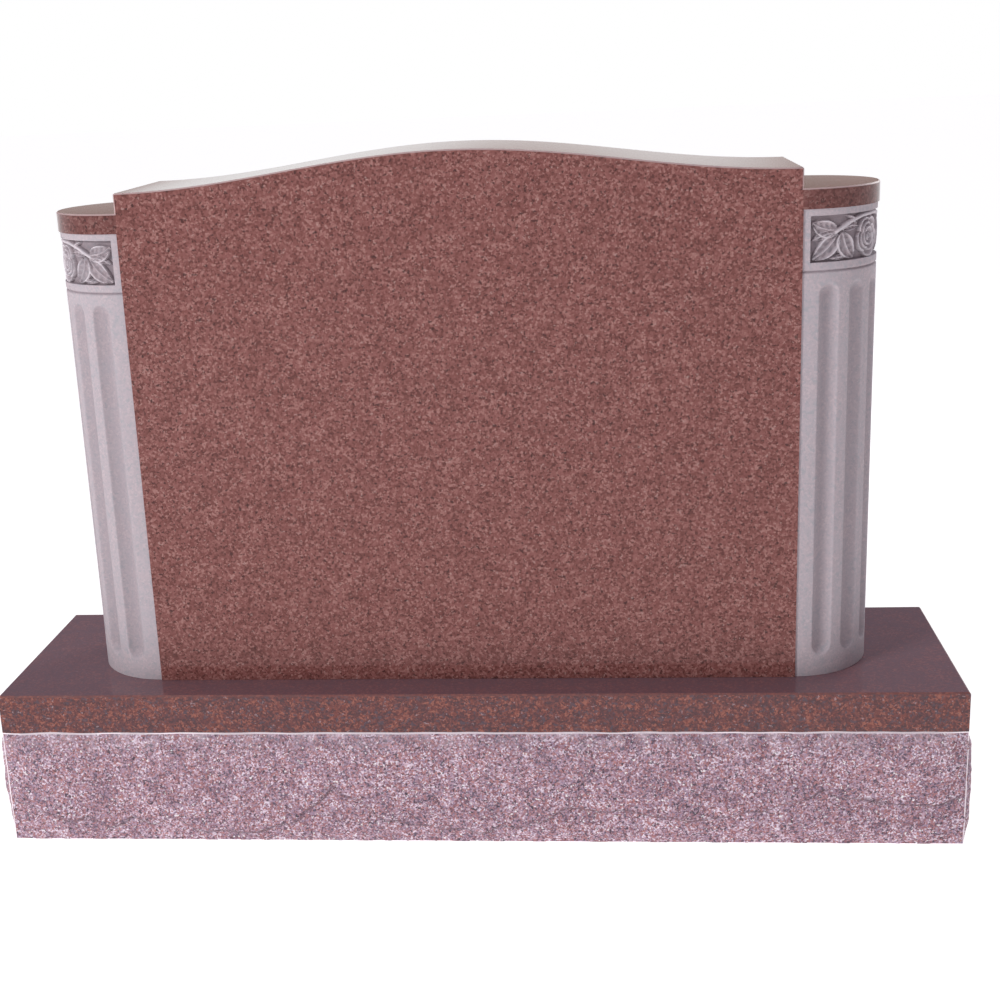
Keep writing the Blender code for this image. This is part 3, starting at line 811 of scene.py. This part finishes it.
# %% Steps of the flute rule
FLUTE_STEPS = (
    ("side", "SIGN", "x"),
    ("far", "ABSOLUTE", "x"),
    ("across", "SUBTRACT", "far", "Axis from middle"),
    ("front", "MULTIPLY", "y", -1.0),
    ("angle", "ARCTAN2", "across", "front"),
    ("across squared", "MULTIPLY", "across", "across"),
    ("radius squared", "MULTIPLY_ADD", "front", "front", "across squared"),
    ("radius", "SQRT", "radius squared"),
    ("past first", "SUBTRACT", "angle", "First flute"),
    ("turned", "DIVIDE", "past first", "Pitch"),
    ("nearest", "ROUND", "turned"),
    ("not before", "MAXIMUM", "nearest", 0.0),
    ("number", "MINIMUM", "not before", "Last flute"),
    ("turn", "MULTIPLY", "number", "Pitch"),
    ("offset", "SUBTRACT", "past first", "turn"),
    ("below", "SUBTRACT", "Straight from", "z"),
    ("above", "SUBTRACT", "z", "Straight to"),
    ("past an end", "MAXIMUM", "below", "above"),
    ("past", "MAXIMUM", "past an end", 0.0),
    ("sine", "SINE", "offset"),
    ("reach", "MULTIPLY", "Bar distance", "sine"),
    ("bar squared", "MULTIPLY", "Bar radius", "Bar radius"),
    ("past squared", "MULTIPLY", "past", "past"),
    ("reach squared", "MULTIPLY", "reach", "reach"),
    ("ball squared", "SUBTRACT", "bar squared", "past squared"),
    ("chord squared", "SUBTRACT", "ball squared", "reach squared"),
    ("left", "MAXIMUM", "chord squared", 0.0),
    ("chord", "SQRT", "left"),
    ("cosine", "COSINE", "offset"),
    ("middle", "MULTIPLY", "Bar distance", "cosine"),
    ("cut", "SUBTRACT", "middle", "chord"),
    ("kept", "SMOOTH_MIN", "radius", "cut", "Worn edge"),
    ("scale", "DIVIDE", "kept", "radius"),
    ("across now", "MULTIPLY_ADD", "across", "scale", "Axis from middle"),
    ("new x", "MULTIPLY", "side", "across now"),
    ("new y", "MULTIPLY", "y", "scale"),
    ("depth", "SUBTRACT", "radius", "kept"),
    ("painted_shade", "MULTIPLY", "depth", "Hollow per metre"),
)
flutes, known = start_rule("flutes", FLUTE_SIZES)
spot = add(flutes, "GeometryNodeInputPosition")
xyz = add(flutes, "ShaderNodeSeparateXYZ", {0: spot.outputs[0]}).outputs
known.update(x=xyz[0], y=xyz[1], z=xyz[2])
take_steps(flutes, known, FLUTE_STEPS)
print("flute rule:", len(FLUTE_STEPS), "steps")

# %% [markdown]
# The points that may move are marked with an attribute. The tree stores a painted shade at each of
# them, from how deep the cut goes, which the finish reads, and then moves them.

# %% Flute tree
fluted = die.data.attributes.new("fluted", "BOOLEAN", "POINT")
reach = FLUTE_ROOM + 0.0001  # the last close rows count too
low_row, high_row = FLUTE_FOOT - reach, FLUTE_TOP + reach
for side in (-1, 1):
    for row, z in zip(ends[side][0], heights):
        if low_row < z < high_row:
            for i in row:
                fluted.data[i].value = True

marked = {"data_type": "BOOLEAN", "Name": "fluted"}
zone = add(flutes, "GeometryNodeInputNamedAttribute", marked).outputs[0]
stored = {"domain": "POINT", 0: known["Geometry"], 1: zone, 2: "painted_shade", 3: known["painted_shade"]}
shaded = add(flutes, "GeometryNodeStoreNamedAttribute", {"data_type": "FLOAT", **stored})
cut_spot = add(flutes, "ShaderNodeCombineXYZ", {0: known["new x"], 1: known["new y"], 2: xyz[2]})
cut = {"Geometry": shaded.outputs[0], "Selection": zone, "Position": cut_spot.outputs[0]}
moved = add(flutes, "GeometryNodeSetPosition", cut)
end_rule(flutes, moved, zone, sandblasted, die)

# %% [markdown]
# The modifiers are then made permanent: the evaluated mesh becomes the piece's own mesh, and
# nothing is left to be worked out later. Big flat faces are shaded flat, and the edge between two
# finishes is crisp. Otherwise a shading normal would lean over a whole polished face from one small
# arris, and the face would mirror the wrong part of the room.

# %% Settle the die
CRISP, CRISP_BETWEEN_FINISHES = radians(50), radians(20)


def settle(piece):
    """Turns a piece and its modifiers into a plain mesh, crisp where the stone is."""
    ready = piece.evaluated_get(bpy.context.evaluated_depsgraph_get())
    mesh = bpy.data.meshes.new_from_object(ready)
    piece.modifiers.clear()
    piece.data = mesh
    mesh.name = piece.name
    work = bmesh.new()
    work.from_mesh(mesh)
    for edge in work.edges:
        a, b = edge.link_faces
        limit = CRISP if a.material_index == b.material_index else CRISP_BETWEEN_FINISHES
        edge.smooth = edge.calc_face_angle() < limit
    for polygon in work.faces:
        polygon.smooth = len(polygon.verts) <= 4
    work.to_mesh(mesh)
    work.free()
    mesh.calc_loop_triangles()
    print(piece.name, "triangles:", len(mesh.loop_triangles))


settle(die)

# %% [markdown]
# The base is sawn, polished on top and down a margin, and its sides are pitched: a mason strikes a
# blunt chisel along a line and a flake flies off. A fresh break has no polish: some crystals part
# along flat faces and flash white, others show dark, and the stone under the pitch line and along
# the corners is bruised white. The top keeps the highest polish and mirrors the grey of the wall,
# and that grey is also painted into its colour as a painted reflection.

# %% Finishes of the base
MARGIN_FELDSPAR = ((0.0, "3C1F24"), (0.35, "5A2829"), (0.7, "78382F"), (1.0, "9A5A4A"))
MARGIN_MINERALS = (("47414F", 5.0, 0.58, 0.7), ("B09AA0", 4.0, 0.66, 0.6))
polished_margin = granite(
    "polished margin granite",
    MARGIN_FELDSPAR,
    crystal_mm=2.1,
    minerals=MARGIN_MINERALS,
    drift=("4A3440", 12, 0.35),
    bloom_and_reflection=("6A2D26", 0.10),
    roughness=0.10,
)
polished_top = granite(
    "mirror-polished granite top",
    MARGIN_FELDSPAR,
    crystal_mm=2.4,
    minerals=MARGIN_MINERALS,
    drift=("5D4A55", 30, 0.3),
    # painted reflection: the grey bloom stands for the wall mirrored in the top
    bloom_and_reflection=("94777F", 0.62),
    roughness=0.06,
    gloss=0.25,
)
BROKEN_FELDSPAR = ((0.0, "4A4354"), (0.2, "86565F"), (0.42, "BC807B"))
BROKEN_FELDSPAR += ((0.6, "96839B"), (0.8, "C6A2B0"), (1.0, "EADCEA"))
BROKEN_MINERALS = (("2A2432", 4.0, 0.60, 0.85), ("FFFFFF", 3.6, 0.64, 0.85))
pitched = granite(
    "rock-pitched granite",
    BROKEN_FELDSPAR,
    crystal_mm=1.9,
    minerals=BROKEN_MINERALS,
    drift=("8A7C92", 22, 0.24),
    bloom_and_reflection=("B090A4", 0.06),
    roughness=0.75,
    bumps=((7.0, 1.0), (2.4, 0.7)),
    # painted shade on the slopes of the shell steps; the bruise is real bruising
    wear_and_shade=(("bruise", "F8E8F2", 0.5), ("painted_step_shade", "42303C", 0.62)),
)
bruised = granite(
    "bruised pitch line",
    BROKEN_FELDSPAR,
    crystal_mm=2.0,
    minerals=BROKEN_MINERALS,
    drift=("C8B8C6", 20, 0.3),
    bloom_and_reflection=("FFF4FA", 0.96),
    roughness=0.8,
    bumps=((2.0, 0.4),),
)
rubbed_base = granite(
    "rubbed arris of the base",
    MARGIN_FELDSPAR,
    crystal_mm=2.6,
    minerals=MARGIN_MINERALS,
    drift=("8A6A66", 20, 0.3),
    bloom_and_reflection=("9A6A66", 0.40),
    roughness=0.4,
    bumps=((1.5, 0.1),),
)
print("finishes of the base:", polished_margin.name, polished_top.name, pitched.name, bruised.name)

# %% [markdown]
# Each side of the base is a fine grid. A grid point's stand-out is the broad rule of the CAD solid:
# a share of even stone, a share of slow lumps and a share of scallops, drawn back at the edges and
# levelled so that the tallest point stands out by the stated bulge. Where a flake ran out low on
# the face it left a shell-shaped step.

# %% Broad form of the rock face
ROCK_GRID = 0.0028
THIN_LINE = 0.0009  # width of the bruised line on corners and foot
BRUISE = 0.0016  # width of the bruised line under the margin
SHORT_RUN = 0.018  # the short sides bulge sooner behind their corners
LUMP, SCALLOP = 0.130, 0.055  # sizes of a slow lump and of a scallop
LUMP_SEED, SCALLOP_SEED = 7.3, 3.1
EVEN_SHARE, LUMP_SHARE, SCALLOP_SHARE = 0.35, 0.40, 0.25
SHELL_STEP, SHELL_SLOPE = 0.0034, 0.005
SHELL_WAVER, SHELL_SWING = 0.010, 0.030
STEP_FROM = 0.05  # a step shows where the face stands out by this share
SHELLS = (
    # along the face, height of the lowest point, radius, for every long side
    (0.139, 0.025, 0.30),
    (0.300, 0.010, 0.16),
    (0.600, 0.014, 0.26),
    (0.765, 0.046, 0.40),
    (0.880, 0.036, 0.38),
    (1.150, 0.054, 0.24),
)


def broad_share(along, up, face_number):
    """The share that the CAD solid stands out at a point, before levelling."""
    lumps = noise.noise(Vector((along / LUMP, up / LUMP, LUMP_SEED * face_number)))
    spot = Vector((along / SCALLOP, up / SCALLOP, SCALLOP_SEED * face_number))
    nearest = noise.voronoi(spot)[0][0]
    return EVEN_SHARE + LUMP_SHARE * (lumps + 1) / 2 + SCALLOP_SHARE * (1 - min(nearest, 1))


def shell_step(along, up):
    """1 inside the arc of a flake's end and 0 under it, over a few millimetres."""
    waver = SHELL_WAVER * noise.noise(Vector((along / SHELL_SWING, up / SHELL_SWING, 2.0)))
    inside = 0.0
    for middle, lowest, radius in SHELLS:
        away = radius + waver - math.hypot(along - middle, up - lowest - radius)
        inside = max(inside, min(max(away / SHELL_SLOPE, 0.0), 1.0))
    return inside


def fade(run, reach):
    """0 at an edge, rising to 1 at its reach."""
    return math.sin(pi / 2 * min(max(run / reach, 0), 1))


def spans(length, first, last, step):
    """Places along a length: a narrow span at each end and even ones between."""
    count = round((length - first - last) / step)
    even = [first + (length - first - last) * i / count for i in range(count + 1)]
    return [0.0, *even, length]


print("lowest corner of the margin:", round(MARGIN_FOOT, 3))

# %% [markdown]
# The grid goes once round the base. Each point keeps its stand-out, the direction it may move in,
# how much of the fine break it takes, how bruised it is, and how much painted shade it takes on the
# slope of a shell step. The top row is the pitch line, which a chisel never leaves quite straight.

# %% Rock grid
PITCH_WAVER, WAVER_SWING, WAVER_REACH = 0.0013, 0.045, 0.012
FINE_FROM = 0.006  # the fine break has its full height this far from an edge
SPALL_SIZE, SPALL_REACH, SPALL_SHARE = 0.016, 0.012, 0.35  # bruised patches under the pitch line
SPALL_SEED, WAVER_SEED = 5.0, 9.0
corners = [Vector((x * BASE_LENGTH / 2, y * BASE_DEPTH / 2)) for x, y in ROUND_THE_MIDDLE]
ups = spans(MARGIN_FOOT, THIN_LINE, BRUISE, ROCK_GRID)
points, faces, finishes = [], [], []
stand, fading, outward, bruises, painted_step_shades, first = [], [], [], [], [], []
for number, (a, b) in enumerate(zip(corners, corners[1:] + corners[:1])):
    length = (b - a).length
    is_long = number % 2 == 0  # front and back
    along = (b - a) / length
    out = Vector((along.y, -along.x, 0))
    corner_run = CORNER_RUN if is_long else SHORT_RUN
    first.append(len(points) // len(ups))
    shares_here = []
    for run in spans(length, THIN_LINE, THIN_LINE, ROCK_GRID)[:-1]:
        across_fade = fade(run, corner_run) * fade(length - run, corner_run)
        spot = a + along * run
        for up in ups:
            spread = across_fade * fade(up, PITCH_RISE) * fade(MARGIN_FOOT - up, PITCH_RISE)
            under = MARGIN_FOOT - up
            inside = shell_step(run, up) if is_long else 0.5
            step = SHELL_STEP * (inside - 0.5)
            shares_here.append((broad_share(run, up, number) * spread, step))
            fading.append(min(min(run, length - run, up, under) / FINE_FROM, 1.0))
            # painted shade where the face falls away down a shell step
            on_slope = min(4 * inside * (1 - inside), 1.0)
            painted_step_shades.append(on_slope * fading[-1] if is_long else 0.0)
            patch = Vector((run / SPALL_SIZE, up / SPALL_SIZE, SPALL_SEED + number))
            spall = min(max(noise.noise(patch) + SPALL_SHARE, 0), 1)
            bruises.append(spall * math.exp(-under / SPALL_REACH))
            swing = noise.noise(Vector((run / WAVER_SWING, 0.0, WAVER_SEED + number)))
            waver = PITCH_WAVER * swing * max(0.0, 1 - under / WAVER_REACH)
            points.append((spot.x, spot.y, up + waver))
            outward.append(out)
    tallest = max(share for share, _ in shares_here)
    for share, step in shares_here:
        stand.append(max(PITCH_BULGE * share / tallest + step * (share > STEP_FROM), 0))
print("rock grid:", len(points), "points, rows", len(ups))

# %% [markdown]
# The margin, its arris and the top close the mesh. Beside the pitch line, a thin bruised line runs
# down the corners and, in broken pieces, along the foot.

# %% Base block
MARGIN, PITCHED, BRUISED, TOP_ARRIS, TOP = 0, 1, 2, 3, 4
FOOT_BREAK, CORNER_BREAK = -0.1, -0.25  # the thin line is broken where a noise is below these
FOOT_STRETCH, CORNER_STRETCH = 9, 5  # grid spans from one break to the next
n = len(ups)
columns = len(points) // n
corner_columns = set(first) | {(start - 1) % columns for start in first}
for i in range(columns):
    after = (i + 1) % columns
    for j in range(n - 1):
        pale = j == n - 2
        if j == 0:
            pale |= noise.noise(Vector((i / FOOT_STRETCH, 0.0, 0.0))) > FOOT_BREAK
        if i in corner_columns:
            pale |= noise.noise(Vector((0.0, i, j / CORNER_STRETCH))) > CORNER_BREAK
        square = (i * n + j, after * n + j, after * n + j + 1, i * n + j + 1)
        face(square, BRUISED if pale else PITCHED)
face([i * n for i in range(columns)], PITCHED)
line = [i * n + n - 1 for i in range(columns)] + [n - 1]
rings = []
for inset, z in ((0.0, BASE_HEIGHT - ARRIS), (ARRIS, BASE_HEIGHT)):
    rings.append(list(range(len(points), len(points) + 4)))
    for x, y in corners:
        place(x - math.copysign(inset, x), y - math.copysign(inset, y), z)
low, high = rings
for k, (start, stop) in enumerate(zip(first, first[1:] + [columns])):
    after = (k + 1) % 4
    face([*line[start : stop + 1], low[after], low[k]], MARGIN)
    face((low[k], low[after], high[after], high[k]), TOP_ARRIS)
face(high, TOP)
stones = [polished_margin, pitched, bruised, rubbed_base, polished_top]
base = make_piece("granite_base", points, faces, finishes, stones)
extra = [0.0] * (len(points) - len(stand))
kept = {"stand_out": stand, "fine_fade": fading, "bruise": bruises, "painted_step_shade": painted_step_shades}
for name, values in kept.items():
    base.data.attributes.new(name, "FLOAT", "POINT").data.foreach_set("value", values + extra)
directions = [c for v in outward for c in v] + extra * 3
base.data.attributes.new("outward", "FLOAT_VECTOR", "POINT").data.foreach_set("vector", directions)

# %% [markdown]
# Granite breaks in small steps from crystal to crystal inside bigger shell-shaped flakes. Geometry
# Nodes push each point of the rock face out by its broad stand-out plus three fine patterns: flakes
# from a noise, ridges from the distance between Voronoi cells, and crystals. The crystals are drawn
# three times too coarse, because the grid can't carry finer ones. Nothing may stand out further
# than the bulge or behind the pitch line.

# %% Fine break of the rock face
ROCK_SIZES = {
    "Flakes per metre": 29.0,
    "Flake height": 0.0090,
    "Ridges per metre": 17.0,
    "Ridge height": 0.0060,
    "Crystals per metre": 140.0,
    "Crystal height": 0.0024,
    "Sink": 0.0087,
    "Broad share": 0.8,
    "Bulge": PITCH_BULGE,
    "Seed": 4.0,
}
ROCK_STEPS = (
    ("sum", "MULTIPLY", "flakes", "Flake height"),
    ("sum", "MULTIPLY_ADD", "ridges", "Ridge height", "sum"),
    ("sum", "MULTIPLY_ADD", "crystals", "Crystal height", "sum"),
    ("fine", "SUBTRACT", "sum", "Sink"),
    ("faded", "MULTIPLY", "fine", "fine_fade"),
    ("total", "MULTIPLY_ADD", "stand_out", "Broad share", "faded"),
    ("not behind", "MAXIMUM", "total", 0.0),
    ("push", "MINIMUM", "not behind", "Bulge"),
    ("inside", "GREATER_THAN", "fine_fade", 0.99),
)
rock, known = start_rule("rock_break", ROCK_SIZES)
at = {"Vector": add(rock, "GeometryNodeInputPosition").outputs[0], "W": known["Seed"]}
for name, detail, rough in (("Flakes", 3.0, 0.55), ("Crystals", 2.0, 0.6)):
    settings = {"noise_dimensions": "4D", "Detail": detail, "Roughness": rough, **at}
    settings["Scale"] = known[name + " per metre"]
    known[name.lower()] = add(rock, "ShaderNodeTexNoise", settings).outputs[0]
settings = {"voronoi_dimensions": "4D", "feature": "SMOOTH_F1", "Smoothness": 0.15, **at}
settings["Scale"] = known["Ridges per metre"]
known["ridges"] = add(rock, "ShaderNodeTexVoronoi", settings).outputs[0]
for name, kind in (("stand_out", "FLOAT"), ("fine_fade", "FLOAT"), ("outward", "FLOAT_VECTOR")):
    settings = {"data_type": kind, "Name": name}
    known[name] = add(rock, "GeometryNodeInputNamedAttribute", settings).outputs[0]
take_steps(rock, known, ROCK_STEPS)
print("rock rule:", len(ROCK_STEPS), "steps")

# %% [markdown]
# As with the flutes, the tree ends by moving the points and setting the finish, and the modifier is
# then made permanent.

# %% Settle the base
lengthened = {"operation": "SCALE", 0: known["outward"], "Scale": known["push"]}
push = add(rock, "ShaderNodeVectorMath", lengthened).outputs[0]
moved = add(rock, "GeometryNodeSetPosition", {"Geometry": known["Geometry"], "Offset": push})
end_rule(rock, moved, known["inside"], pitched, base)
settle(base)

# %% [markdown]
# Both blocks ride on the one body of the model and stand for their CAD nodes.

# %% Attach the blocks to the body
for piece, node, slot in ((die, "die", "die_granite"), (base, "base", "base_granite")):
    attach(piece, "root")
    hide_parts(node)
